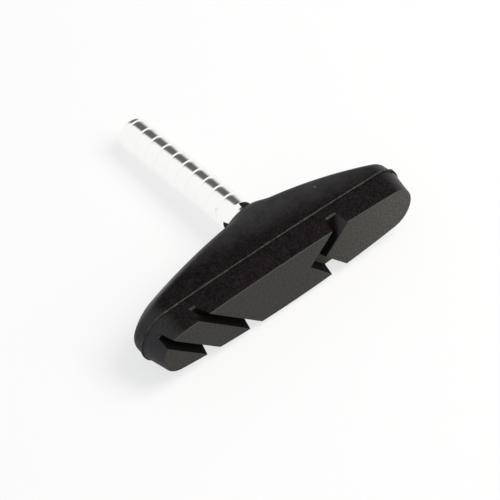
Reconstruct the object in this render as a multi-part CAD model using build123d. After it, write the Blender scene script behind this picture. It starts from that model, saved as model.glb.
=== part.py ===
from build123d import *
import math
import os

# Bicycle rim brake pad: a rubber block moulded round a steel post and the plate it is riveted to.
# Frame, in millimetres: X runs along the pad, +Y along the post to its tip, +Z up.
# The origin is on the post's axis, in the plane of the friction face.

# Friction face: its outline is four tangent arcs, two bowed sides and two round ends
pad_length = 61.8
upper_half_width = 5.88     # from the post to the upper side, at the middle of the pad
lower_half_width = 6.18     # from the post to the lower side, which bows more
pad_end_radius = 4.73
end_rise = 0.33             # of the middles of the round ends above the post
post_offset = 3.85          # from the middle of the pad's length to the post, towards +X
face_bevel = 0.15           # at 45 degrees, all round the friction face

# Mould halves, which part at the block's widest outline
parting_depth = 5.4         # from the friction face to the parting plane
flank_draft = 4.6           # degrees, of the flanks between the friction face and the parting plane
end_draft = 11.0            # degrees, of the ends between the friction face and the parting plane
back_draft = 4.0            # degrees, all round between the parting plane and the shoulder
parting_shift = 0.25        # of the parting outline past the friction face, towards +X
flash_reach = 0.22
flash_thickness = 0.32

# Back of the block: its ridge is four tangent arcs, and it is crowned across
peak_height = 17.45         # from the friction face to the top of the ridge
peak_offset = 0.8           # from the post to the top of the ridge, towards +X
peak_radius = 30.0
long_slope_start = 6.4      # degrees of slope where the arc of the long arm takes over
long_slope_end = 16.6       # degrees of slope where the arc of the toe takes over
long_slope_radius = 148.0
toe_slope_end = 55.0        # degrees of slope, past the end of the block
toe_radius = 19.0
short_slope_start = 11.5    # degrees of slope where the arc of the short arm takes over
short_slope_end = 35.0      # degrees of slope, past the end of the block
short_slope_radius = 80.0
crown_radius = 7.0
crown_half_width = 6.85     # past the flanks of the block
shoulder_radius = 2.3

# Round boss on the back, which closes on the neck of the post
boss_height = 17.80         # from the friction face to the top of the boss
boss_base = 14.2            # from the friction face to its base, inside the block
boss_diameter = 8.8
boss_flare = 20.0           # degrees, of its side
boss_chamfer = 0.3
boss_foot_radius = 2.0

# Slots across the friction face
slot_depth = 3.1
slot_draft = 10.0           # degrees, each wall
slant_width = 1.95          # across the slot, at the face
slant_angle = 48.0          # degrees from Z, leaning to -X upwards
slant_start = -28.75        # X where the first slot crosses the middle of the face
slant_pitch = 9.65
slant_count = 2
chevron_width = 2.95        # across each leg, at the face
chevron_angle = 44.0        # degrees from Z, each leg
chevron_apex = 1.0          # X of the chevron's point

# Backing plate, sealed in the rubber
plate_length = 40.0
plate_width = 7.4
plate_thickness = 1.6
plate_depth = 7.0           # from the friction face to the plate's front
key_hole_diameter = 3.0     # the rubber runs through these and locks on the plate
key_hole_spacing = 26.0     # between the two holes, one each side of the plate's middle

# Post
shank_diameter = 6.8
neck_diameter = 6.0         # undercut that the rubber closes on
shank_start = 19.1          # from the friction face to the shank's shoulder
post_tip = 50.9             # from the friction face to the end of the post
tip_chamfer = 1.6           # in two steps, which round the end of the post
tip_bulge = 0.47            # where the steps meet, in from the end and from the side
flange_diameter = 9.2
flange_thickness = 1.8
tail_diameter = 5.0
rivet_diameter = 7.2
rivet_thickness = 1.2

# Sizes that follow from those
pad_middle = -post_offset
flank_growth = parting_depth * math.tan(math.radians(flank_draft))
end_growth = parting_depth * math.tan(math.radians(end_draft))
plate_back = plate_depth + plate_thickness
cutter_reach = 2 * (upper_half_width + lower_half_width)
edge_slack = 0.01           # within this an edge counts as lying in a plane


def depth_plane(depth):
    """Plane parallel to the friction face, with X along the pad and Y up."""
    return Plane.XZ.offset(-depth)


def side_end(half_length, half_width, end_radius):
    """Point where a side's arc meets the arc of the end, from the middle of the outline."""
    end_center = half_length - end_radius
    side_radius = (end_center**2 / (half_width - end_radius) + end_radius + half_width) / 2
    to_end = side_radius / (side_radius - end_radius)
    return end_center * to_end, (side_radius - half_width) * (to_end - 1)


def block_outline(at_ends, at_flanks, shift=0.0):
    """Outline of the block, grown and shifted from what it is at the friction face."""
    half_length = pad_length / 2 + at_ends
    end_radius = pad_end_radius + (at_ends + at_flanks) / 2
    upper = upper_half_width - end_rise + at_flanks
    lower = lower_half_width + end_rise + at_flanks
    upper_x, upper_z = side_end(half_length, upper, end_radius)
    lower_x, lower_z = side_end(half_length, lower, end_radius)
    arcs = [
        ThreePointArc((-upper_x, upper_z), (0, upper), (upper_x, upper_z)),
        ThreePointArc((upper_x, upper_z), (half_length, 0), (lower_x, -lower_z)),
        ThreePointArc((lower_x, -lower_z), (0, -lower), (-lower_x, -lower_z)),
        ThreePointArc((-lower_x, -lower_z), (-half_length, 0), (-upper_x, upper_z)),
    ]
    return Pos(pad_middle + shift, end_rise) * make_face(arcs)


def front_half():
    """Block from the friction face, with its bevelled edge, to the parting plane."""
    share = face_bevel / parting_depth
    bevel_outline = block_outline(share * end_growth, share * flank_growth, share * parting_shift)
    sections = [
        depth_plane(0) * block_outline(-face_bevel, -face_bevel),
        depth_plane(face_bevel) * bevel_outline,
        depth_plane(parting_depth) * block_outline(end_growth, flank_growth, parting_shift),
    ]
    return loft(sections, ruled=True)


def ridge_arc(middle, radius, start, stop):
    """Length of the crowned back along one arc of the ridge, between two slopes in degrees."""
    slope = math.radians(start)
    section_plane = Plane(
        origin=middle,
        x_dir=(math.sin(slope), math.cos(slope), 0),
        z_dir=(math.cos(slope), -math.sin(slope), 0),
    )
    rim = radius - crown_radius + math.sqrt(crown_radius**2 - crown_half_width**2)
    inner = radius - peak_height
    crown = ThreePointArc((rim, crown_half_width), (radius, 0), (rim, -crown_half_width))
    base = Polyline(
        (rim, -crown_half_width),
        (inner, -crown_half_width),
        (inner, crown_half_width),
        (rim, crown_half_width),
    )
    section = section_plane * make_face([crown, *base.edges()])
    return revolve(section, axis=Axis(middle, (0, 0, -1)), revolution_arc=stop - start)


def next_middle(middle, growth, slope):
    """Middle of the arc, larger by a growth in radius, that takes over at a slope in degrees."""
    angle = math.radians(slope)
    return middle[0] - growth * math.sin(angle), middle[1] - growth * math.cos(angle), 0


def ridge_body():
    """Body whose outside is the whole crowned back, from past one end to past the other."""
    peak = (peak_offset, peak_height - peak_radius, 0)
    long_arm = next_middle(peak, long_slope_radius - peak_radius, -long_slope_start)
    toe = next_middle(long_arm, toe_radius - long_slope_radius, -long_slope_end)
    short_arm = next_middle(peak, short_slope_radius - peak_radius, short_slope_start)
    body = ridge_arc(peak, peak_radius, -long_slope_start, short_slope_start)
    body += ridge_arc(long_arm, long_slope_radius, -long_slope_end, -long_slope_start)
    body += ridge_arc(toe, toe_radius, -toe_slope_end, -long_slope_end)
    body += ridge_arc(short_arm, short_slope_radius, short_slope_start, short_slope_end)
    return body


def boss():
    """Round boss, from its base inside the block to its chamfered top."""
    top = boss_diameter / 2
    flare = (boss_height - boss_chamfer - boss_base) * math.tan(math.radians(boss_flare))
    profile = Polyline(
        (0, boss_base),
        (top + flare, boss_base),
        (top, boss_height - boss_chamfer),
        (top - boss_chamfer, boss_height),
        (0, boss_height),
        close=True,
    )
    return revolve(make_face(profile), axis=Axis.Y)


def clear_of_parting(edge):
    """Tells whether an edge lies wholly above the parting plane."""
    return edge.bounding_box().min.Y > parting_depth + edge_slack


def back_half():
    """Block from the parting plane to the crowned back and the boss."""
    outline = depth_plane(parting_depth) * block_outline(end_growth, flank_growth, parting_shift)
    walls = extrude(outline, amount=parting_depth - boss_height, taper=back_draft)
    half = walls & ridge_body()
    edges_above = half.edges().filter_by(clear_of_parting)
    rim = edges_above - edges_above.filter_by(GeomType.CIRCLE)
    half = fillet(rim, shoulder_radius)
    stud = boss()
    joined = half + stud
    foot = new_edges(half, stud, combined=joined)
    return fillet(foot, boss_foot_radius)


def flash_line():
    """Thin film of rubber squeezed out where the mould halves meet."""
    outline = block_outline(end_growth + flash_reach, flank_growth + flash_reach, parting_shift)
    return extrude(depth_plane(parting_depth - flash_thickness / 2) * outline, amount=-flash_thickness)


def slant_slots():
    """Straight slots across the face, with drafted walls."""
    slot = Rot(0, 0, slant_angle) * Rectangle(slant_width, 2 * cutter_reach)
    slots = [Pos(slant_start + slant_pitch * i, 0) * slot for i in range(slant_count)]
    return [extrude(depth_plane(0) * item, amount=-slot_depth, taper=slot_draft) for item in slots]


def chevron_slot():
    """Slot of two legs that meet at a point on the middle of the face, with drafted walls."""
    along = cutter_reach * math.tan(math.radians(chevron_angle))
    opening = chevron_width / math.cos(math.radians(chevron_angle))
    inner = chevron_apex + opening
    outline = Polyline(
        (chevron_apex, 0),
        (chevron_apex + along, cutter_reach),
        (inner + along, cutter_reach),
        (inner, 0),
        (inner + along, -cutter_reach),
        (chevron_apex + along, -cutter_reach),
        close=True,
    )
    return extrude(depth_plane(0) * make_face(outline), amount=-slot_depth, taper=slot_draft)


def backing_plate():
    """Stamped plate with the rivet hole and the holes that key it in the rubber."""
    plate = Pos(pad_middle, 0) * SlotOverall(plate_length, plate_width)
    plate -= Circle(tail_diameter / 2)
    for side in (-1, 1):
        plate -= Pos(pad_middle + side * key_hole_spacing / 2, 0) * Circle(key_hole_diameter / 2)
    return extrude(depth_plane(plate_depth) * plate, amount=-plate_thickness)


def post():
    """Turned stud: rivet head, tail through the plate, flange, undercut neck and shank."""
    profile = Polyline(
        (0, plate_depth - rivet_thickness),
        (rivet_diameter / 2, plate_depth - rivet_thickness),
        (rivet_diameter / 2, plate_depth),
        (tail_diameter / 2, plate_depth),
        (tail_diameter / 2, plate_back),
        (flange_diameter / 2, plate_back),
        (flange_diameter / 2, plate_back + flange_thickness),
        (neck_diameter / 2, plate_back + flange_thickness),
        (neck_diameter / 2, shank_start),
        (shank_diameter / 2, shank_start),
        (shank_diameter / 2, post_tip - tip_chamfer),
        (shank_diameter / 2 - tip_bulge, post_tip - tip_bulge),
        (shank_diameter / 2 - tip_chamfer, post_tip),
        (0, post_tip),
        close=True,
    )
    return revolve(make_face(profile), axis=Axis.Y)


def rubber_block(inserts):
    """Moulded block, closed on the inserts and slotted across its friction face."""
    block = front_half() + back_half() + flash_line()
    for cut in [*slant_slots(), chevron_slot(), *inserts]:
        block -= cut
    return block


plate_part = backing_plate()
post_part = post()
nodes = {
    "rubber_block": rubber_block([plate_part, post_part]),
    "post": post_part,
    "backing_plate": plate_part,
}
os.makedirs("parts", exist_ok=True)
for name, solid in nodes.items():
    export_step(solid, f"parts/{name}.step")
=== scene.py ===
"""Bicycle rim brake pad: a moulded rubber block, a turned and plated post, and a plain studio."""

import logging
import math
from dataclasses import dataclass
from enum import Enum
from typing import Any

import bmesh
import bpy
from mathutils import Matrix, Vector
from mathutils.geometry import convex_hull_2d

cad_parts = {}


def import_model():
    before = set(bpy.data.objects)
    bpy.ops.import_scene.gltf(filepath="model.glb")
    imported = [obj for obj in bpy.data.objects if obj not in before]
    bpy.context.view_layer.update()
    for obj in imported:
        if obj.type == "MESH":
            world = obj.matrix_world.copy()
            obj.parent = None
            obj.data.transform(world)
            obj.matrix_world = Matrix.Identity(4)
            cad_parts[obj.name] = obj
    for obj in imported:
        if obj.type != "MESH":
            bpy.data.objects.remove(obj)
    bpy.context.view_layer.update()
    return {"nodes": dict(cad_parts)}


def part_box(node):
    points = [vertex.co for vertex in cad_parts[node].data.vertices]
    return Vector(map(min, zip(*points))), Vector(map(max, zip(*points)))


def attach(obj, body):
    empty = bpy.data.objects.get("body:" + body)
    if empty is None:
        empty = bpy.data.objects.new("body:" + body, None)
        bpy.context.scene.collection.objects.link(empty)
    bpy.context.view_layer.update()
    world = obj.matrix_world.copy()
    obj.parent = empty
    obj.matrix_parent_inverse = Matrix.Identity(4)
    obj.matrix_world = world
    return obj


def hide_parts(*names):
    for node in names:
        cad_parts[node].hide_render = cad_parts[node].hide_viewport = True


LOG = logging.getLogger("brake_pad")
MM = 0.001
BODY = "root"
SLOT_MARK = "in_slot"
DEPTH_WAY = (0.0, 1.0, 0.0)

# Sockets of a Mix node that mixes colours, where names alone don't tell them apart
SHARE, UNDER, OVER, MIXED = 0, 6, 7, 2

# A noise texture's middle, and the values that most of it lies between
NOISE_LOW, NOISE_MIDDLE, NOISE_HIGH = 0.3, 0.5, 0.7

Socket = bpy.types.NodeSocket
Tree = bpy.types.NodeTree

# A share of the surface, and the colour that covers it
Layer = tuple[Socket, Any]


class Blend(Enum):
    """How a second colour is laid over a first."""

    MIX = "MIX"
    MULTIPLY = "MULTIPLY"


def linear(colour: str) -> tuple[float, float, float, float]:
    """Turns an sRGB colour into linear light.

    Args:
        colour: The colour as "#rrggbb".

    Returns:
        Linear red, green and blue with an alpha of 1.
    """
    channels = [int(colour[i : i + 2], 16) / 255 for i in (1, 3, 5)]
    light = [c / 12.92 if c <= 0.04045 else ((c + 0.055) / 1.055) ** 2.4 for c in channels]
    return (*light, 1.0)


def add_node(
    tree: Tree,
    kind: str,
    inputs: dict[Any, Any] | None = None,
    output: str | int = 0,
    **settings: Any,
) -> Socket | None:
    """Adds a node with its settings, input values and links.

    Args:
        tree: The tree that gets the node.
        kind: The node's type name.
        inputs: Values or sockets for the node's inputs, by name or number.
        output: The output that is wanted, by name or number.
        settings: Attributes of the node itself.

    Returns:
        The wanted output, or None where the node has none.
    """
    node = tree.nodes.new(kind)
    for name, value in settings.items():
        setattr(node, name, value)
    for key, value in (inputs or {}).items():
        if isinstance(value, Socket):
            tree.links.new(value, node.inputs[key])
        else:
            node.inputs[key].default_value = value
    return node.outputs[output] if node.outputs else None


def bare_material(name: str) -> tuple[bpy.types.Material, Tree]:
    """Makes a material with an empty tree.

    Args:
        name: The material's name.

    Returns:
        The material and its tree.
    """
    material = bpy.data.materials.new(name)
    material.use_nodes = True
    material.node_tree.nodes.clear()
    return material, material.node_tree


@dataclass(frozen=True)
class MouldedRubber:
    """Black brake rubber, pressed in a mould, with its friction face ground bare."""

    skin: tuple[str, str] = ("#040303", "#181112")
    skin_range: tuple[float, float] = (0.75, 1.25)
    skin_roughness: float = 0.36
    roughness_swing: float = 0.06
    ior: float = 1.27
    grain: float = 0.36 * MM
    grain_detail: float = 3.0
    bump_depth: float = 0.018 * MM
    mottle: float = 1.6 * MM
    mottle_detail: float = 4.0
    speck: str = "#2f2b2d"
    speck_range: tuple[float, float] = (0.45, 0.7)
    speck_share: float = 0.4
    # Grey bloom, whose rise towards the ridge and the long arm's tip is painted sheen; also the painted
    # light on one chevron wall
    bloom_and_sheen: str = "#3a3a3c"
    bloom_roughness: float = 0.72
    ridge_sheen_range: tuple[float, float] = (7.6 * MM, 13.4 * MM)
    bloom_lean: float = 0.12
    tip_sheen_range: tuple[float, float] = (-29.0 * MM, -34.5 * MM)
    bloom_patch: float = 5.0 * MM
    bloom_least: float = 0.5
    worn_least: float = 0.7
    # Painted shade in the slots, then painted light on their lit parts
    slot_shade: str = "#010101"
    slot_roughness: float = 0.95
    slot_floor: float = 3.0 * MM
    lit_mouth: str = "#190f0c"
    mouth_depth: float = 1.4 * MM
    mouth_range: tuple[float, float] = (1.0 * MM, 4.5 * MM)
    chevron_start: float = 0.0
    chevron_middle: float = 0.0
    lit_wall_range: tuple[float, float] = (2.6 * MM, 3.8 * MM)
    lit_wall_slope: float = -0.92
    lit_lower_floor: str = "#625e55"
    ground: tuple[str, str] = ("#201f1d", "#3e3d39")
    ground_range: tuple[float, float] = (0.35, 0.65)
    ground_roughness: float = 0.60
    face_range: tuple[float, float] = (0.10 * MM, 0.20 * MM)
    # Painted light: the ground face is painted lighter towards the end of the shorter arm
    lit_end_range: tuple[float, float] = (2.0 * MM, 30.0 * MM)
    lit_end_gain: float = 2.2
    # A pale burr on the face's edges, which also stands for their painted highlight
    burr_and_highlight: str = "#45443f"
    burr_and_highlight_range: tuple[float, float] = (0.02 * MM, 0.16 * MM)
    dust: str = "#84847c"
    dust_spacing: float = 3.0 * MM
    dust_radius: float = 0.17 * MM
    dust_core: float = 0.6
    dust_share: float = 0.05

    def make(self) -> bpy.types.Material:
        """Builds the material.

        Returns:
            The material.
        """
        # The mould's skin is near black, brownish in patches, with fine pale specks and a satin sheen,
        # and a grey bloom clouds it, rising towards the ridge and the tip of the long arm as painted
        # sheen. The slots are painted shade, a dull black, with painted light deep in their upper ends,
        # on one wall of the chevron and on the floor of its lower leg. Grinding bares a matt,
        # speckled grey, painted lighter towards the end of the shorter arm, and leaves a pale burr on the
        # edges, which also stands for their painted highlight. Dust sits in few specks.
        # So fine a skin shows less sheen than smooth rubber, hence the low index of refraction.
        # The grain is drawn coarser than the real one, which would be too fine to show.
        material, tree = bare_material("moulded_brake_rubber")
        place = add_node(tree, "ShaderNodeTexCoord", output="Object")
        along, depth, level = add_node(tree, "ShaderNodeSeparateXYZ", {0: place}).node.outputs
        grain = add_node(
            tree,
            "ShaderNodeTexNoise",
            {"Vector": place, "Scale": 1 / self.grain, "Detail": self.grain_detail},
        )
        mottle = add_node(
            tree,
            "ShaderNodeTexNoise",
            {"Vector": place, "Scale": 1 / self.mottle, "Detail": self.mottle_detail},
        )
        both = add_node(tree, "ShaderNodeMath", {0: grain, 1: mottle}, operation="ADD")
        low, high = self.skin_range
        patch = add_node(tree, "ShaderNodeMapRange", {"Value": both, "From Min": low, "From Max": high})
        low, high = self.speck_range
        specks = add_node(
            tree,
            "ShaderNodeMapRange",
            {"Value": grain, "From Min": low, "From Max": high, "To Max": self.speck_share},
        )
        bloom_and_sheen = self.bloom_and_sheen_share(tree, place, along, depth, patch)
        in_slot = add_node(tree, "ShaderNodeAttribute", output="Fac", attribute_name=SLOT_MARK)
        start, end = self.face_range
        on_face = add_node(
            tree, "ShaderNodeMapRange", {"Value": depth, "From Min": end, "From Max": start}
        )
        layers = (
            (patch, linear(self.skin[1])),
            (bloom_and_sheen, linear(self.bloom_and_sheen)),
            (specks, linear(self.speck)),
            *self.slot_layers(tree, in_slot, along, depth, level),
            (on_face, self.ground_colour(tree, grain, along)),
            (self.burr_and_highlight_share(tree, depth), linear(self.burr_and_highlight)),
            (self.speck_of_dust(tree, place), linear(self.dust)),
        )
        colour = linear(self.skin[0])
        for share, over in layers:
            colour = add_node(
                tree,
                "ShaderNodeMix",
                {SHARE: share, UNDER: colour, OVER: over},
                MIXED,
                data_type="RGBA",
                blend_type=Blend.MIX.value,
            )
        roughness = self.skin_roughness
        rougher = (
            (bloom_and_sheen, self.bloom_roughness),
            (in_slot, self.slot_roughness),
            (on_face, self.ground_roughness),
        )
        for share, rough in rougher:
            roughness = add_node(
                tree, "ShaderNodeMapRange", {"Value": share, "To Min": roughness, "To Max": rough}
            )
        swing = add_node(
            tree,
            "ShaderNodeMapRange",
            {
                "Value": grain,
                "From Min": NOISE_LOW,
                "From Max": NOISE_HIGH,
                "To Min": -self.roughness_swing,
                "To Max": self.roughness_swing,
            },
        )
        roughness = add_node(tree, "ShaderNodeMath", {0: roughness, 1: swing}, operation="ADD")
        bump = add_node(tree, "ShaderNodeBump", {"Distance": self.bump_depth, "Height": grain})
        surface = add_node(
            tree,
            "ShaderNodeBsdfPrincipled",
            {"Base Color": colour, "Roughness": roughness, "IOR": self.ior, "Normal": bump},
        )
        add_node(tree, "ShaderNodeOutputMaterial", {"Surface": surface})
        return material

    def bloom_and_sheen_share(
        self, tree: Tree, place: Socket, along: Socket, depth: Socket, patch: Socket
    ) -> Socket:
        """Finds how much of the skin the grey bloom hides, with painted sheen towards the ridge and tip.

        Args:
            tree: The material's tree.
            place: The point on the pad.
            along: Its place along the pad.
            depth: Its depth behind the friction face.
            patch: The skin's patches, which the bloom follows.

        Returns:
            The bloom's share.
        """
        cloud = add_node(
            tree,
            "ShaderNodeTexNoise",
            {"Vector": place, "Scale": 1 / self.bloom_patch, "Detail": self.mottle_detail},
        )
        cloud = add_node(
            tree,
            "ShaderNodeMapRange",
            {"Value": cloud, "From Min": NOISE_LOW, "From Max": NOISE_HIGH, "To Min": self.bloom_least},
        )
        leaning = add_node(
            tree, "ShaderNodeMath", {0: along, 1: self.bloom_lean, 2: depth}, operation="MULTIPLY_ADD"
        )
        # Painted sheen: the grey rises towards the ridge, where the back catches light
        start, end = self.ridge_sheen_range
        ridge = add_node(
            tree, "ShaderNodeMapRange", {"Value": leaning, "From Min": start, "From Max": end}
        )
        ridge = add_node(tree, "ShaderNodeMath", {0: cloud, 1: ridge}, operation="MULTIPLY")
        # Painted sheen: the grey rises towards the tip of the long arm
        start, end = self.tip_sheen_range
        tip = add_node(tree, "ShaderNodeMapRange", {"Value": along, "From Min": start, "From Max": end})
        share = add_node(tree, "ShaderNodeMath", {0: ridge, 1: tip}, operation="MAXIMUM")
        worn = add_node(tree, "ShaderNodeMapRange", {"Value": patch, "To Min": self.worn_least})
        return add_node(tree, "ShaderNodeMath", {0: share, 1: worn}, operation="MULTIPLY")

    def slot_layers(
        self, tree: Tree, in_slot: Socket, along: Socket, depth: Socket, level: Socket
    ) -> list[Layer]:
        """Paints shade into the slots, and light on their mouths and on a wall and a floor of the
        chevron.

        Args:
            tree: The material's tree.
            in_slot: Whether the point lies in one of the slots.
            along: Its place along the pad.
            depth: Its depth behind the friction face.
            level: Its place across the pad.

        Returns:
            The layers, each as its share and its colour.
        """
        # Painted light: deep in the slots and towards the upper flank they are painted brown, as lit
        deep = add_node(tree, "ShaderNodeMath", {0: depth, 1: self.mouth_depth}, operation="GREATER_THAN")
        start, end = self.mouth_range
        lit_mouth = add_node(tree, "ShaderNodeMapRange", {"Value": level, "From Min": start, "From Max": end})
        floor = add_node(tree, "ShaderNodeMath", {0: depth, 1: self.slot_floor}, operation="GREATER_THAN")
        chevron = add_node(
            tree, "ShaderNodeMath", {0: along, 1: self.chevron_start}, operation="GREATER_THAN"
        )
        # Painted light: the upper part of the chevron's wall is painted grey, as lit from above
        wall = add_node(tree, "ShaderNodeMath", {0: chevron, 1: floor}, operation="GREATER_THAN")
        slanted = add_node(
            tree, "ShaderNodeMath", {0: depth, 1: self.lit_wall_slope, 2: level}, operation="MULTIPLY_ADD"
        )
        start, end = self.lit_wall_range
        lit_wall = add_node(
            tree, "ShaderNodeMapRange", {"Value": slanted, "From Min": start, "From Max": end}
        )
        # Painted light: the floor of the chevron's lower leg is painted pale beige, as lit
        lower = add_node(
            tree, "ShaderNodeMath", {0: level, 1: self.chevron_middle}, operation="LESS_THAN"
        )
        places = (
            ((deep, lit_mouth), self.lit_mouth),
            ((wall, lit_wall), self.bloom_and_sheen),
            ((chevron, floor, lower), self.lit_lower_floor),
        )
        # Painted shade: the slots are painted near black all through
        layers = [(in_slot, linear(self.slot_shade))]
        for limits, colour in places:
            share = in_slot
            for limit in limits:
                share = add_node(tree, "ShaderNodeMath", {0: share, 1: limit}, operation="MULTIPLY")
            layers.append((share, linear(colour)))
        return layers

    def ground_colour(self, tree: Tree, grain: Socket, along: Socket) -> Socket:
        """Colours the ground friction face, with painted light that brightens it along the shorter arm.

        Args:
            tree: The material's tree.
            grain: The rubber's grain.
            along: The point's place along the pad.

        Returns:
            The colour.
        """
        low, high = self.ground_range
        speckle = add_node(
            tree, "ShaderNodeMapRange", {"Value": grain, "From Min": low, "From Max": high}
        )
        dark, light = self.ground
        ground = add_node(
            tree,
            "ShaderNodeMix",
            {SHARE: speckle, UNDER: linear(dark), OVER: linear(light)},
            MIXED,
            data_type="RGBA",
        )
        # Painted light: the face brightens towards the end of the shorter arm
        start, end = self.lit_end_range
        pale = add_node(
            tree,
            "ShaderNodeMapRange",
            {"Value": along, "From Min": start, "From Max": end, "To Min": 1.0, "To Max": self.lit_end_gain},
        )
        return add_node(
            tree,
            "ShaderNodeMix",
            {SHARE: 1.0, UNDER: ground, OVER: pale},
            MIXED,
            data_type="RGBA",
            blend_type=Blend.MULTIPLY.value,
        )

    def burr_and_highlight_share(self, tree: Tree, depth: Socket) -> Socket:
        """Finds the narrow burr on the friction face's edges, partly a painted edge highlight.

        Args:
            tree: The material's tree.
            depth: The point's depth behind the friction face.

        Returns:
            1 on the burr and its painted highlight, and otherwise 0.
        """
        start, end = self.burr_and_highlight_range
        past = add_node(tree, "ShaderNodeMath", {0: depth, 1: start}, operation="GREATER_THAN")
        before = add_node(tree, "ShaderNodeMath", {0: depth, 1: end}, operation="LESS_THAN")
        return add_node(tree, "ShaderNodeMath", {0: past, 1: before}, operation="MULTIPLY")

    def speck_of_dust(self, tree: Tree, place: Socket) -> Socket:
        """Scatters few round specks of dust.

        Args:
            tree: The material's tree.
            place: The point on the pad.

        Returns:
            The dust's share.
        """
        cells = add_node(
            tree, "ShaderNodeTexVoronoi", {"Vector": place, "Scale": 1 / self.dust_spacing}, "Distance"
        )
        size = self.dust_radius / self.dust_spacing
        dust = add_node(
            tree,
            "ShaderNodeMapRange",
            {"Value": cells, "From Min": size, "From Max": self.dust_core * size},
        )
        chance = add_node(tree, "ShaderNodeSeparateColor", {0: cells.node.outputs["Color"]})
        kept = add_node(tree, "ShaderNodeMath", {0: chance, 1: self.dust_share}, operation="LESS_THAN")
        return add_node(tree, "ShaderNodeMath", {0: dust, 1: kept}, operation="MULTIPLY")


@dataclass(frozen=True)
class TornRubber:
    """Flash of the same rubber, squeezed out between the mould halves and torn off."""

    pale: str = "#4d4e47"
    dark: str = "#262722"
    ior: float = 1.27
    roughness: float = 0.7
    grain: float = 0.4 * MM
    grain_detail: float = 2.0

    def make(self) -> bpy.types.Material:
        """Builds the material.

        Returns:
            The material.
        """
        # A torn edge scatters more light than a moulded skin, so it is a pale, uneven, matt grey.
        material, tree = bare_material("torn_rubber_flash")
        place = add_node(tree, "ShaderNodeTexCoord", output="Object")
        grain = add_node(
            tree,
            "ShaderNodeTexNoise",
            {"Vector": place, "Scale": 1 / self.grain, "Detail": self.grain_detail},
        )
        share = add_node(
            tree, "ShaderNodeMapRange", {"Value": grain, "From Min": NOISE_LOW, "From Max": NOISE_HIGH}
        )
        colour = add_node(
            tree,
            "ShaderNodeMix",
            {SHARE: share, UNDER: linear(self.dark), OVER: linear(self.pale)},
            MIXED,
            data_type="RGBA",
        )
        surface = add_node(
            tree,
            "ShaderNodeBsdfPrincipled",
            {"Base Color": colour, "Roughness": self.roughness, "IOR": self.ior},
        )
        add_node(tree, "ShaderNodeOutputMaterial", {"Surface": surface})
        return material


@dataclass(frozen=True)
class PlatedSteel:
    """Turned steel with a bright plating."""

    colour: str = "#f9f9f7"
    roughness: tuple[float, float] = (0.10, 0.22)
    marks_range: tuple[float, float] = (0.1, 0.45)
    turning_pitch: float = 0.22 * MM
    turning_detail: float = 2.0
    haze: float = 3.0 * MM
    haze_detail: float = 3.0
    bump_depth: float = 0.002 * MM
    # Painted shade: matt black on the neck, where it lies in shade
    neck_shade: str = "#0c0b0b"
    neck_shade_roughness: float = 0.9
    neck_shade_top: float = 19.1 * MM
    neck_shade_slope: float = 0.12
    unshaded_right: float = 0.1 * MM
    unshaded_low: float = 0.55 * MM

    def make(self) -> bpy.types.Material:
        """Builds the material.

        Returns:
            The material.
        """
        # The plating mirrors the white table, a little blurred across the turning marks.
        # The marks are drawn coarser than real ones, which would be too fine to show.
        # Painted shade: round the neck, where it lies in shade between the post and the rubber, the post
        # is painted a matt black, not metal, but for one quarter.
        material, tree = bare_material("bright_plated_steel")
        place = add_node(tree, "ShaderNodeTexCoord", output="Object")
        aside, along, level = add_node(tree, "ShaderNodeSeparateXYZ", {0: place}).node.outputs
        turned = add_node(
            tree,
            "ShaderNodeTexNoise",
            {"W": along, "Scale": 1 / self.turning_pitch, "Detail": self.turning_detail},
            noise_dimensions="1D",
        )
        haze = add_node(
            tree,
            "ShaderNodeTexNoise",
            {"Vector": place, "Scale": 1 / self.haze, "Detail": self.haze_detail},
        )
        marks = add_node(tree, "ShaderNodeMath", {0: turned, 1: haze}, operation="MULTIPLY")
        low, high = self.marks_range
        smooth, rough = self.roughness
        roughness = add_node(
            tree,
            "ShaderNodeMapRange",
            {"Value": marks, "From Min": low, "From Max": high, "To Min": smooth, "To Max": rough},
        )
        # Painted shade: below the shank's shoulder the post is painted matt black, but for one quarter
        leaning = add_node(
            tree, "ShaderNodeMath", {0: aside, 1: self.neck_shade_slope, 2: along}, operation="MULTIPLY_ADD"
        )
        inner = add_node(tree, "ShaderNodeMath", {0: leaning, 1: self.neck_shade_top}, operation="LESS_THAN")
        right = add_node(tree, "ShaderNodeMath", {0: aside, 1: self.unshaded_right}, operation="GREATER_THAN")
        under = add_node(tree, "ShaderNodeMath", {0: level, 1: self.unshaded_low}, operation="LESS_THAN")
        beside = add_node(tree, "ShaderNodeMath", {0: right, 1: under}, operation="MAXIMUM")
        neck_shade = add_node(tree, "ShaderNodeMath", {0: inner, 1: beside}, operation="MULTIPLY")
        bare = add_node(tree, "ShaderNodeMath", {0: 1.0, 1: neck_shade}, operation="SUBTRACT")
        colour = add_node(
            tree,
            "ShaderNodeMix",
            {SHARE: neck_shade, UNDER: linear(self.colour), OVER: linear(self.neck_shade)},
            MIXED,
            data_type="RGBA",
        )
        roughness = add_node(
            tree,
            "ShaderNodeMapRange",
            {"Value": neck_shade, "To Min": roughness, "To Max": self.neck_shade_roughness},
        )
        bump = add_node(tree, "ShaderNodeBump", {"Distance": self.bump_depth, "Height": turned})
        surface = add_node(
            tree,
            "ShaderNodeBsdfPrincipled",
            {"Base Color": colour, "Metallic": bare, "Roughness": roughness, "Normal": bump},
        )
        add_node(tree, "ShaderNodeOutputMaterial", {"Surface": surface})
        return material


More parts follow.
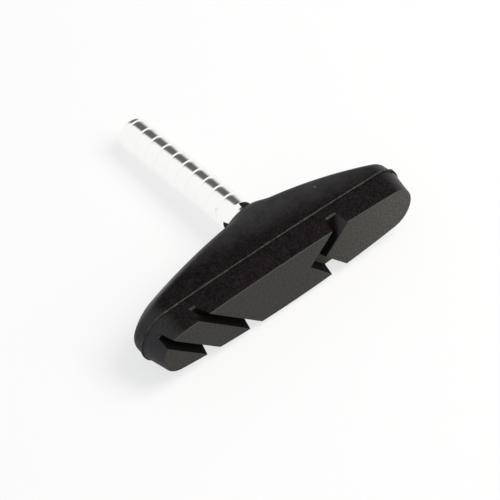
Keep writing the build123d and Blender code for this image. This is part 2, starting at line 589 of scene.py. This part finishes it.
@dataclass(frozen=True)
class StampedSteel:
    """Bare rolled sheet steel, stamped to its outline."""

    colour: str = "#8f8f8c"
    roughness: tuple[float, float] = (0.35, 0.5)
    grain: float = 0.3 * MM
    stretch: float = 0.05

    def make(self) -> bpy.types.Material:
        """Builds the material.

        Returns:
            The material.
        """
        # Rolling leaves a dull grey with fine streaks along the sheet.
        material, tree = bare_material("stamped_sheet_steel")
        place = add_node(tree, "ShaderNodeTexCoord", output="Object")
        rolled = add_node(
            tree, "ShaderNodeMapping", {"Vector": place, "Scale": (self.stretch, 1.0, 1.0)}
        )
        grain = add_node(tree, "ShaderNodeTexNoise", {"Vector": rolled, "Scale": 1 / self.grain})
        smooth, rough = self.roughness
        roughness = add_node(
            tree,
            "ShaderNodeMapRange",
            {
                "Value": grain,
                "From Min": NOISE_LOW,
                "From Max": NOISE_HIGH,
                "To Min": smooth,
                "To Max": rough,
            },
        )
        surface = add_node(
            tree,
            "ShaderNodeBsdfPrincipled",
            {"Base Color": linear(self.colour), "Metallic": 1.0, "Roughness": roughness},
        )
        add_node(tree, "ShaderNodeOutputMaterial", {"Surface": surface})
        return material


def show(name: str, data: bpy.types.ID) -> bpy.types.Object:
    """Puts a mesh, curve, light or camera in the scene.

    Args:
        name: The object's name.
        data: What the object holds.

    Returns:
        The new object, at the origin.
    """
    thing = bpy.data.objects.new(name, data)
    bpy.context.scene.collection.objects.link(thing)
    return thing


def poly_path(name: str, points: list[Vector], closed: bool) -> bpy.types.Object:
    """Draws a path of straight runs.

    Args:
        name: The path's name.
        points: The points that it passes.
        closed: Whether its end meets its start.

    Returns:
        The path's object.
    """
    path = show(name, bpy.data.curves.new(name, "CURVE"))
    path.data.dimensions = "3D"
    add_run(path, points, closed)
    return path


def add_run(path: bpy.types.Object, points: list[Vector], closed: bool) -> bpy.types.Spline:
    """Adds a run of straight lines to a path.

    Args:
        path: The path's object.
        points: The points that the run passes.
        closed: Whether its end meets its start.

    Returns:
        The run.
    """
    run = path.data.splines.new("POLY")
    run.points.add(len(points) - 1)
    for knot, point in zip(run.points, points):
        knot.co = (*point, 1.0)
    run.use_cyclic_u = closed
    return run


class ShapeTree:
    """A Geometry Nodes tree with named sizes, and the modifier that runs it."""

    def __init__(self, name: str, sizes: dict[str, float | int], finish: bpy.types.Material) -> None:
        """Starts the tree and gives it its inputs.

        Args:
            name: The tree's name.
            sizes: The tree's named sizes.
            finish: The material that the made mesh gets.
        """
        self.tree = bpy.data.node_groups.new(name, "GeometryNodeTree")
        self.settings: dict[str, Any] = {}
        sockets = self.tree.interface
        sockets.new_socket("Geometry", in_out="INPUT", socket_type="NodeSocketGeometry")
        for label, size in sizes.items():
            kind = "NodeSocketInt" if isinstance(size, int) else "NodeSocketFloat"
            socket = sockets.new_socket(label, in_out="INPUT", socket_type=kind)
            self.settings[socket.identifier] = size
        socket = sockets.new_socket("Finish", in_out="INPUT", socket_type="NodeSocketMaterial")
        self.settings[socket.identifier] = finish
        sockets.new_socket("Geometry", in_out="OUTPUT", socket_type="NodeSocketGeometry")
        self.given = add_node(self.tree, "NodeGroupInput").node.outputs

    def run(self, base: bpy.types.Object, shape: Socket) -> bpy.types.Mesh:
        """Ends the tree, runs it on an object and takes the plain mesh.

        Args:
            base: The object that carries the modifier, removed afterwards.
            shape: The socket with the finished geometry.

        Returns:
            The made mesh.
        """
        real = add_node(self.tree, "GeometryNodeRealizeInstances", {"Geometry": shape})
        dressed = add_node(
            self.tree, "GeometryNodeSetMaterial", {"Geometry": real, "Material": self.given["Finish"]}
        )
        add_node(self.tree, "NodeGroupOutput", {"Geometry": dressed})
        modifier = base.modifiers.new(self.tree.name, "NODES")
        modifier.node_group = self.tree
        for identifier, value in self.settings.items():
            modifier[identifier] = value
        graph = bpy.context.evaluated_depsgraph_get()
        mesh = bpy.data.meshes.new_from_object(base.evaluated_get(graph))
        base.modifiers.remove(modifier)
        bpy.data.objects.remove(base)
        return mesh


@dataclass
class RubberBlock:
    """The moulded block, with its edges softened and the flash along its parting line."""

    rubber: bpy.types.Material
    torn: bpy.types.Material
    merge_distance: float = 0.001 * MM
    flat_angle: float = math.radians(0.2)
    edge_angle: float = math.radians(28)
    edge_radius: float = 0.09 * MM
    edge_segments: int = 3
    neck_radius: float = 3.0 * MM
    peak_height: float = 17.45 * MM
    peak_offset: float = 0.8 * MM
    peak_radius: float = 30.0 * MM
    slope_start: float = math.radians(6.4)
    slope_radius: float = 148.0 * MM
    crown_radius: float = 7.0 * MM
    mound_reach: float = 6.8 * MM
    mound_height: float = 0.82 * MM
    mound_lean: float = 0.27 * MM
    mound_way: float = math.radians(45)
    mound_slack: float = 0.02 * MM
    mound_cuts: int = 2
    parting_depth: float = 5.4 * MM
    film_width: float = 0.14 * MM
    film_thickness: float = 0.42 * MM
    film_ragged: float = 0.06 * MM
    film_wander: float = 1.6 * MM
    film_detail: float = 3.0
    film_swell: tuple[float, float] = (0.5, 1.2)
    film_step: float = 0.2 * MM
    film_facets: int = 10
    slot_depth: float = 3.1 * MM
    lip_level: float = 3.0 * MM
    lip_slack: float = 0.05 * MM
    wall_slant: float = 0.85
    lip_growth: float = 1.7
    tongue_place: tuple[float, float, float] = (27.0 * MM, 5.4 * MM, 4.1 * MM)
    tongue_reach: float = 0.7 * MM
    tongue_growth: float = 1.3

    def crown(self, x: float, z: float) -> float:
        """Gives the height of the ridged and crowned back near the post, without the boss.

        Args:
            x: Place along the pad.
            z: Place across it.

        Returns:
            The height over the friction face.
        """
        ahead = x - self.peak_offset
        further = -ahead - self.peak_radius * math.sin(self.slope_start)
        if further < 0:
            along = self.peak_radius - math.sqrt(self.peak_radius**2 - ahead**2)
        else:
            slope = math.asin(math.sin(self.slope_start) + further / self.slope_radius)
            along = self.peak_radius * (1 - math.cos(self.slope_start))
            along += self.slope_radius * (math.cos(self.slope_start) - math.cos(slope))
        across = self.crown_radius - math.sqrt(self.crown_radius**2 - z**2)
        return self.peak_height - along - across

    def on_mound(self, point: Vector) -> bool:
        """Tells whether a point of the solid's surface lies on the back, round the post.

        Args:
            point: A point of the surface.

        Returns:
            Whether the mound takes it in.
        """
        if math.hypot(point.x, point.z) > self.mound_reach:
            return False
        return point.y > self.crown(point.x, point.z) - self.mound_slack

    def settle(self, point: Vector) -> Vector:
        """Moves a point on or round the boss to the smooth mound that the rubber forms there.

        Args:
            point: A point on the mound's part of the solid's surface.

        Returns:
            The point's place on the mound.
        """
        away = (math.hypot(point.x, point.z) - self.neck_radius) / (self.mound_reach - self.neck_radius)
        turn = math.atan2(point.z, point.x) - self.mound_way
        height = self.mound_height + self.mound_lean * math.cos(turn)
        swell = height * (1 - max(0.0, away) ** 2) ** 2
        return Vector((point.x, self.crown(point.x, point.z) + swell, point.z))

    def mark_slots(self, work: bmesh.types.BMesh) -> None:
        """Marks the floors and walls of the slots, which get painted shade and light of their own.

        Args:
            work: The block that is being made.
        """
        mark = work.faces.layers.float.new(SLOT_MARK)
        for face in work.faces:
            if any(abs(vert.co.y - self.slot_depth) > self.lip_slack for vert in face.verts):
                continue
            face[mark] = 1.0
            for edge in face.edges:
                for wall in edge.link_faces:
                    if abs(wall.normal.z) < self.wall_slant:
                        wall[mark] = 1.0

    def block(self, node: bpy.types.Object) -> bpy.types.Object:
        """Builds the block from the solid's own surface.

        Args:
            node: The solid that gives the form.

        Returns:
            The block's object.
        """
        source = node.data
        mesh = bpy.data.meshes.new("rubber_pad")
        corners = [vertex.co for vertex in source.vertices]
        mesh.from_pydata(corners, [], [tuple(face.vertices) for face in source.polygons])
        work = bmesh.new()
        work.from_mesh(mesh)
        bmesh.ops.remove_doubles(work, verts=work.verts, dist=self.merge_distance)
        inside = [edge for edge in work.edges if all(self.on_mound(v.co) for v in edge.verts)]
        bmesh.ops.subdivide_edges(work, edges=inside, cuts=self.mound_cuts)
        for vert in work.verts:
            if self.on_mound(vert.co):
                vert.co = self.settle(vert.co)
        bmesh.ops.dissolve_limit(work, angle_limit=self.flat_angle, verts=work.verts, edges=work.edges)
        self.mark_slots(work)
        work.to_mesh(mesh)
        work.free()
        mesh.shade_smooth()
        mesh.set_sharp_from_angle(angle=self.edge_angle)
        mesh.materials.append(self.rubber)
        pad = show("rubber_pad", mesh)
        bevel = pad.modifiers.new("soft edges", "BEVEL")
        bevel.width = self.edge_radius
        bevel.segments = self.edge_segments
        bevel.limit_method = "ANGLE"
        bevel.angle_limit = self.edge_angle
        bevel.harden_normals = True
        weighted = pad.modifiers.new("flat faces", "WEIGHTED_NORMAL")
        weighted.keep_sharp = True
        return pad

    def slot_ends(self, node: bpy.types.Object) -> list[tuple[Vector, Vector]]:
        """Finds where the slots' floors break out through the upper flank.

        Args:
            node: The solid that has the slots.

        Returns:
            The edges of the floors there, as pairs of points.
        """
        uses: dict[tuple[Any, Any], list[tuple[Vector, Vector]]] = {}
        for face in node.data.polygons:
            corners = [node.data.vertices[i].co for i in face.vertices]
            if any(abs(corner.y - self.slot_depth) > self.lip_slack for corner in corners):
                continue
            for pair in zip(corners, corners[1:] + corners[:1]):
                key = tuple(sorted(tuple(round(c / self.merge_distance) for c in end) for end in pair))
                uses.setdefault(key, []).append(pair)
        once = [pairs[0] for pairs in uses.values() if len(pairs) == 1]
        return [pair for pair in once if min(end.z for end in pair) > self.lip_level]

    def flash(self, node: bpy.types.Object) -> bpy.types.Object:
        """Builds the ragged film of rubber along the parting line, the block's widest outline.

        Args:
            node: The solid that gives the outline.

        Returns:
            The film's object.
        """
        flat = [(v.co.x, v.co.z) for v in node.data.vertices]
        rim = [Vector((flat[i][0], self.parting_depth, flat[i][1])) for i in convex_hull_2d(flat)]
        sizes = {
            "Width": self.film_width,
            "Thickness": self.film_thickness,
            "Ragged": self.film_ragged,
            "Wander": 1 / self.film_wander,
            "Step": self.film_step,
            "Facets": self.film_facets,
            "Tongue reach": self.tongue_reach,
            "Tongue growth": self.tongue_growth,
        }
        shape = ShapeTree("Flash film", sizes, self.torn)
        tree, size = shape.tree, shape.given
        even = add_node(
            tree,
            "GeometryNodeResampleCurve",
            {"Curve": size["Geometry"], "Length": size["Step"]},
            mode="LENGTH",
        )
        place = add_node(tree, "GeometryNodeInputPosition")
        waver = add_node(
            tree,
            "ShaderNodeTexNoise",
            {"Vector": place, "Scale": size["Wander"], "Detail": self.film_detail},
        )
        swing = add_node(tree, "ShaderNodeMath", {0: waver, 1: NOISE_MIDDLE}, operation="SUBTRACT")
        swing = add_node(tree, "ShaderNodeMath", {0: swing, 1: size["Ragged"]}, operation="MULTIPLY")
        tangent = add_node(tree, "GeometryNodeInputTangent")
        outward = add_node(
            tree, "ShaderNodeVectorMath", {0: tangent, 1: DEPTH_WAY}, operation="CROSS_PRODUCT"
        )
        offset = add_node(tree, "ShaderNodeVectorMath", {0: outward, "Scale": swing}, operation="SCALE")
        uneven = add_node(tree, "GeometryNodeSetPosition", {"Geometry": even, "Offset": offset})
        away = add_node(
            tree, "ShaderNodeVectorMath", {0: place, 1: self.tongue_place}, "Value", operation="DISTANCE"
        )
        tongue = add_node(
            tree,
            "ShaderNodeMapRange",
            {
                "Value": away,
                "From Max": size["Tongue reach"],
                "To Min": size["Tongue growth"],
                "To Max": 0.0,
            },
            interpolation_type="SMOOTHSTEP",
        )
        thin, thick = self.film_swell
        swell = add_node(
            tree,
            "ShaderNodeMapRange",
            {
                "Value": waver,
                "From Min": NOISE_LOW,
                "From Max": NOISE_HIGH,
                "To Min": thin,
                "To Max": thick,
            },
        )
        swell = add_node(tree, "ShaderNodeMath", {0: swell, 1: tongue}, operation="ADD")
        growth = add_node(tree, "GeometryNodeInputRadius")
        swell = add_node(tree, "ShaderNodeMath", {0: swell, 1: growth}, operation="MULTIPLY")
        ring = add_node(
            tree, "GeometryNodeCurvePrimitiveCircle", {"Resolution": size["Facets"], "Radius": 0.5}
        )
        across = add_node(tree, "ShaderNodeCombineXYZ", {0: size["Thickness"], 1: size["Width"], 2: 1.0})
        section = add_node(tree, "GeometryNodeTransform", {"Geometry": ring, "Scale": across})
        film = add_node(
            tree, "GeometryNodeCurveToMesh", {"Curve": uneven, "Profile Curve": section, "Scale": swell}
        )
        path = poly_path("parting_line", rim, True)
        for lip in self.slot_ends(node):
            for knot in add_run(path, list(lip), False).points:
                knot.radius = self.lip_growth
        mesh = shape.run(path, film)
        mesh.shade_smooth()
        return show("flash_film", mesh)

    def build(self, node: bpy.types.Object) -> list[bpy.types.Object]:
        """Builds the block and its flash and ties them to the frame.

        Args:
            node: The solid that they stand for.

        Returns:
            The made pieces.
        """
        pad = self.block(node)
        film = self.flash(node)
        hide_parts("rubber_block")
        for piece in (pad, film):
            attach(piece, BODY)
        return [pad, film]


@dataclass
class TurnedPost:
    """The stud: rivet head, tail, flange and neck in the rubber, then the grooved shank."""

    plating: bpy.types.Material
    rivet_radius: float = 3.6 * MM
    tail_radius: float = 2.5 * MM
    tail_start: float = 7.0 * MM
    flange_radius: float = 4.6 * MM
    flange_start: float = 8.6 * MM
    neck_radius: float = 3.0 * MM
    neck_start: float = 10.4 * MM
    shank_radius: float = 3.4 * MM
    shank_start: float = 19.1 * MM
    shoulder_taper: float = 0.8 * MM
    step_bevel: float = 0.05 * MM
    tip_radius: float = 1.6 * MM
    tip_steps: int = 12
    groove_width: float = 0.85 * MM
    groove_depth: float = 0.18 * MM
    groove_pitch: float = 3.0 * MM
    groove_from_tip: float = 2.03 * MM
    groove_count: int = 10
    rings: int = 760
    facets: int = 72
    flat_angle: float = math.radians(0.05)
    edge_angle: float = math.radians(40)

    def axis(self, foot: float, tip: float) -> bpy.types.Object:
        """Draws the post's axis, with the plain radius at each point.

        Args:
            foot: Where the rivet head begins.
            tip: Where the post ends.

        Returns:
            The axis as a path.
        """
        round_start = tip - self.tip_radius
        steps = (
            (foot, self.tail_start, self.rivet_radius),
            (self.tail_start, self.flange_start, self.tail_radius),
            (self.flange_start, self.neck_start, self.flange_radius),
            (self.neck_start, self.shank_start - self.shoulder_taper, self.neck_radius),
            (self.shank_start, round_start, self.shank_radius),
        )
        profile = []
        for start, stop, radius in steps:
            profile += [(start + self.step_bevel, radius), (stop - self.step_bevel, radius)]
        profile[0] = (foot, self.rivet_radius)
        for i in range(self.tip_steps + 1):
            turn = math.radians(90) * i / self.tip_steps
            inset = self.tip_radius * (1 - math.cos(turn))
            profile.append((round_start + self.tip_radius * math.sin(turn), self.shank_radius - inset))
        axis = poly_path("post_axis", [Vector((0, along, 0)) for along, _ in profile], False)
        for knot, (_, radius) in zip(axis.data.splines[0].points, profile):
            knot.radius = radius
        return axis

    def turn(self, axis: bpy.types.Object, tip: float) -> bpy.types.Mesh:
        """Turns the post round its axis and sinks the evenly spaced ring grooves.

        Args:
            axis: The axis with its radii.
            tip: Where the post ends.

        Returns:
            The post's mesh.
        """
        sizes = {
            "First groove": tip - self.groove_from_tip,
            "Last groove": self.groove_count - 1,
            "Groove pitch": self.groove_pitch,
            "Groove half width": self.groove_width / 2,
            "Groove depth": self.groove_depth,
            "Rings": self.rings,
            "Facets": self.facets,
        }
        shape = ShapeTree("Turned post", sizes, self.plating)
        tree, size = shape.tree, shape.given
        fine = add_node(
            tree,
            "GeometryNodeResampleCurve",
            {"Curve": size["Geometry"], "Count": size["Rings"]},
            mode="COUNT",
        )
        place = add_node(tree, "GeometryNodeInputPosition")
        along = add_node(tree, "ShaderNodeSeparateXYZ", {0: place}, "Y")
        first, last, pitch = size["First groove"], size["Last groove"], size["Groove pitch"]
        past = add_node(tree, "ShaderNodeMath", {0: first, 1: along}, operation="SUBTRACT")
        pitches = add_node(tree, "ShaderNodeMath", {0: past, 1: pitch}, operation="DIVIDE")
        nearest = add_node(tree, "ShaderNodeMath", {0: pitches}, operation="ROUND")
        nearest = add_node(tree, "ShaderNodeClamp", {"Value": nearest, "Min": 0.0, "Max": last})
        middle = add_node(tree, "ShaderNodeMath", {0: nearest, 1: pitch}, operation="MULTIPLY")
        aside = add_node(tree, "ShaderNodeMath", {0: past, 1: middle}, operation="SUBTRACT")
        aside = add_node(tree, "ShaderNodeMath", {0: aside}, operation="ABSOLUTE")
        dip = add_node(
            tree,
            "ShaderNodeMapRange",
            {
                "Value": aside,
                "From Max": size["Groove half width"],
                "To Min": size["Groove depth"],
                "To Max": 0.0,
            },
            interpolation_type="SMOOTHSTEP",
        )
        plain = add_node(tree, "GeometryNodeInputRadius")
        radius = add_node(tree, "ShaderNodeMath", {0: plain, 1: dip}, operation="SUBTRACT")
        circle = add_node(
            tree, "GeometryNodeCurvePrimitiveCircle", {"Resolution": size["Facets"], "Radius": 1.0}
        )
        solid = add_node(
            tree,
            "GeometryNodeCurveToMesh",
            {"Curve": fine, "Profile Curve": circle, "Scale": radius, "Fill Caps": True},
        )
        return shape.run(axis, solid)

    def thin_out(self, mesh: bpy.types.Mesh) -> None:
        """Joins the rings that lie in one straight run and shades the rest smooth.

        Args:
            mesh: The post's mesh.
        """
        work = bmesh.new()
        work.from_mesh(mesh)
        bmesh.ops.dissolve_limit(work, angle_limit=self.flat_angle, verts=work.verts, edges=work.edges)
        bmesh.ops.recalc_face_normals(work, faces=work.faces)
        work.to_mesh(mesh)
        work.free()
        mesh.shade_smooth()
        mesh.set_sharp_from_angle(angle=self.edge_angle)

    def build(self) -> list[bpy.types.Object]:
        """Builds the post and ties it to the frame.

        Returns:
            The made piece, in a list.
        """
        low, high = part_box("post")
        mesh = self.turn(self.axis(low.y, high.y), high.y)
        self.thin_out(mesh)
        post = show("plated_post", mesh)
        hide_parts("post")
        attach(post, BODY)
        return [post]


def rays_told_apart(tree: Tree) -> tuple[Socket, Socket]:
    """Tells the rays that come from the eye from those that come from gloss or glass.

    Args:
        tree: The tree of the table or of the room.

    Returns:
        1 for a ray from the eye, and 1 for a ray from gloss or glass.
    """
    rays = add_node(tree, "ShaderNodeLightPath").node.outputs
    glossy, through = rays["Is Glossy Ray"], rays["Is Transmission Ray"]
    in_mirror = add_node(tree, "ShaderNodeMath", {0: glossy, 1: through}, operation="MAXIMUM")
    return rays["Is Camera Ray"], in_mirror


@dataclass(frozen=True)
class SoftBox:
    """One soft box: where it hangs, how large and how strong it is."""

    name: str
    way: tuple[float, float, float]
    distance: float
    width: float
    height: float
    power: float
    colour: str
    mirrored: bool

    def hang(self, target: Vector) -> None:
        """Hangs the box, aimed at the target.

        Args:
            target: What the box lights.
        """
        lamp = bpy.data.lights.new(self.name, "AREA")
        lamp.shape = "RECTANGLE"
        lamp.size = self.width
        lamp.size_y = self.height
        lamp.energy = self.power
        lamp.color = linear(self.colour)[:3]
        box = show(self.name, lamp)
        aim = Vector(self.way).normalized()
        box.location = target + aim * self.distance
        box.rotation_euler = aim.to_track_quat("Z", "Y").to_euler()
        box.visible_glossy = self.mirrored


@dataclass
class Studio:
    """A white table in a white room that is dark above the right side, and the photograph's camera."""

    floor_size: float = 4.0
    floor_colour: str = "#f4f4f4"
    white_share: float = 0.72
    mirrored_share: float = 0.92
    parting_depth: float = 5.4 * MM
    post_radius: float = 3.4 * MM
    tip_radius: float = 1.6 * MM
    backdrop_colour: str = "#ffffff"
    room_colour: str = "#eff4ff"
    room_level: float = 0.45
    dark_level: float = 0.12
    dark_middle: tuple[float, float, float] = (0.43, 0.60, 0.55)
    dark_reach: tuple[float, float, float] = (0.32, 0.50, 0.47)
    dark_blur: float = 0.09
    boxes: tuple[SoftBox, ...] = (
        SoftBox(
            name="key_box",
            way=(0.50, -0.30, 0.80),
            distance=0.7,
            width=0.45,
            height=0.45,
            power=4.15,
            colour="#fff8ee",
            mirrored=False,
        ),
        SoftBox(
            name="edge_box",
            way=(0.468, -0.713, 0.52),
            distance=0.7,
            width=0.25,
            height=0.25,
            power=0.6,
            colour="#ffffff",
            mirrored=True,
        ),
    )
    azimuth: float = math.radians(-41.94)
    elevation: float = math.radians(45.56)
    post_turn: float = math.radians(0.5)
    distance: float = 565.84 * MM
    target: tuple[float, float, float] = (0.0, 15.0 * MM, 0.0)
    target_pixel: tuple[float, float] = (252.60, 227.57)
    frame_pixels: float = 500.0
    focal_pixels: float = 3000.0
    sensor: float = 36.0

    def floor(self) -> None:
        """Lays the table so that the pad's flank and the post's tip both rest on it."""
        low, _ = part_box("rubber_block")
        _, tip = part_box("post")
        near = Vector((0, self.parting_depth, low.z))
        far = Vector((0, tip.y - self.tip_radius, -self.post_radius))
        along = (far - near).normalized()
        half = self.floor_size / 2
        sides = ((-half, -half), (half, -half), (half, half), (-half, half))
        mesh = bpy.data.meshes.new("table")
        mesh.from_pydata([near + Vector((x, 0, 0)) + along * y for x, y in sides], [], [(0, 1, 2, 3)])
        mesh.materials.append(self.table_material())
        show("table", mesh)

    def table_material(self) -> bpy.types.Material:
        """Builds the table's paper, which keeps shadows but is white to the eye and in mirrors.

        Returns:
            The material.
        """
        material, tree = bare_material("white_table_paper")
        seen, in_mirror = rays_told_apart(tree)
        seen = add_node(tree, "ShaderNodeMath", {0: seen, 1: self.white_share}, operation="MULTIPLY")
        share = add_node(
            tree,
            "ShaderNodeMath",
            {0: in_mirror, 1: self.mirrored_share, 2: seen},
            operation="MULTIPLY_ADD",
        )
        paper = add_node(tree, "ShaderNodeBsdfDiffuse", {"Color": linear(self.floor_colour)})
        white = add_node(tree, "ShaderNodeEmission", {"Strength": 1.0})
        mixed = add_node(tree, "ShaderNodeMixShader", {0: share, 1: paper, 2: white})
        add_node(tree, "ShaderNodeOutputMaterial", {"Surface": mixed})
        return material

    def world(self) -> None:
        """Sets a soft room round the table, white to the eye and in mirrors but for a dark part."""
        world = bpy.data.worlds.new("studio")
        bpy.context.scene.world = world
        world.use_nodes = True
        tree = world.node_tree
        tree.nodes.clear()
        seen, in_mirror = rays_told_apart(tree)
        way = add_node(tree, "ShaderNodeTexCoord", output="Generated")
        ways = add_node(tree, "ShaderNodeSeparateXYZ", {0: way}).node.outputs
        dark = 1.0
        for side, middle, reach in zip(ways, self.dark_middle, self.dark_reach):
            aside = add_node(tree, "ShaderNodeMath", {0: side, 1: middle}, operation="SUBTRACT")
            aside = add_node(tree, "ShaderNodeMath", {0: aside}, operation="ABSOLUTE")
            inside = add_node(
                tree,
                "ShaderNodeMapRange",
                {"Value": aside, "From Min": reach + self.dark_blur, "From Max": reach - self.dark_blur},
            )
            dark = add_node(tree, "ShaderNodeMath", {0: inside, 1: dark}, operation="MULTIPLY")
        mirrored = add_node(
            tree, "ShaderNodeMapRange", {"Value": dark, "To Min": 1.0, "To Max": self.dark_level}
        )
        level = add_node(
            tree,
            "ShaderNodeMapRange",
            {"Value": in_mirror, "To Min": self.room_level, "To Max": mirrored},
        )
        level = add_node(tree, "ShaderNodeMath", {0: level, 1: seen}, operation="MAXIMUM")
        plain = add_node(tree, "ShaderNodeMath", {0: in_mirror, 1: seen}, operation="MAXIMUM")
        colour = add_node(
            tree,
            "ShaderNodeMix",
            {SHARE: plain, UNDER: linear(self.room_colour), OVER: linear(self.backdrop_colour)},
            MIXED,
            data_type="RGBA",
        )
        room = add_node(tree, "ShaderNodeBackground", {"Color": colour, "Strength": level})
        add_node(tree, "ShaderNodeOutputWorld", {"Surface": room})

    def camera(self) -> None:
        """Sets the camera where the photograph was taken from."""
        across, up = math.cos(self.elevation), math.sin(self.elevation)
        back = Vector((math.sin(self.azimuth) * across, -math.cos(self.azimuth) * across, up))
        right = Vector((0, 0, 1)).cross(back).normalized()
        above = back.cross(right)
        pixel = self.distance / self.focal_pixels
        middle = self.frame_pixels / 2
        target = Vector(self.target)
        aside = right * (self.target_pixel[0] - middle) + above * (middle - self.target_pixel[1])
        eye = target + back * self.distance
        aim = target - aside * pixel - eye
        lens = bpy.data.cameras.new("photo_camera")
        lens.sensor_width = self.sensor
        lens.lens = self.sensor * self.focal_pixels / self.frame_pixels
        camera = show("photo_camera", lens)
        level_view = Matrix.LocRotScale(eye, aim.to_track_quat("-Z", "Y"), None)
        camera.matrix_world = Matrix.Rotation(self.post_turn, 4, "Y") @ level_view
        bpy.context.scene.camera = camera

    def build(self) -> None:
        """Sets up the table, the room, the lights and the camera."""
        self.floor()
        self.world()
        for box in self.boxes:
            box.hang(Vector(self.target))
        self.camera()
        bpy.context.scene.view_settings.view_transform = "Standard"


def main() -> None:
    """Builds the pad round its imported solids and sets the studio."""
    logging.basicConfig(level=logging.INFO, format="%(name)s: %(message)s")
    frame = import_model()
    nodes = frame["nodes"]
    pieces = RubberBlock(MouldedRubber().make(), TornRubber().make()).build(nodes["rubber_block"])
    pieces += TurnedPost(PlatedSteel().make()).build()
    nodes["backing_plate"].material_slots[0].material = StampedSteel().make()
    for piece in pieces:
        LOG.info("%s has %d faces", piece.name, len(piece.data.polygons))
    Studio().build()


if __name__ == "__main__":
    main()
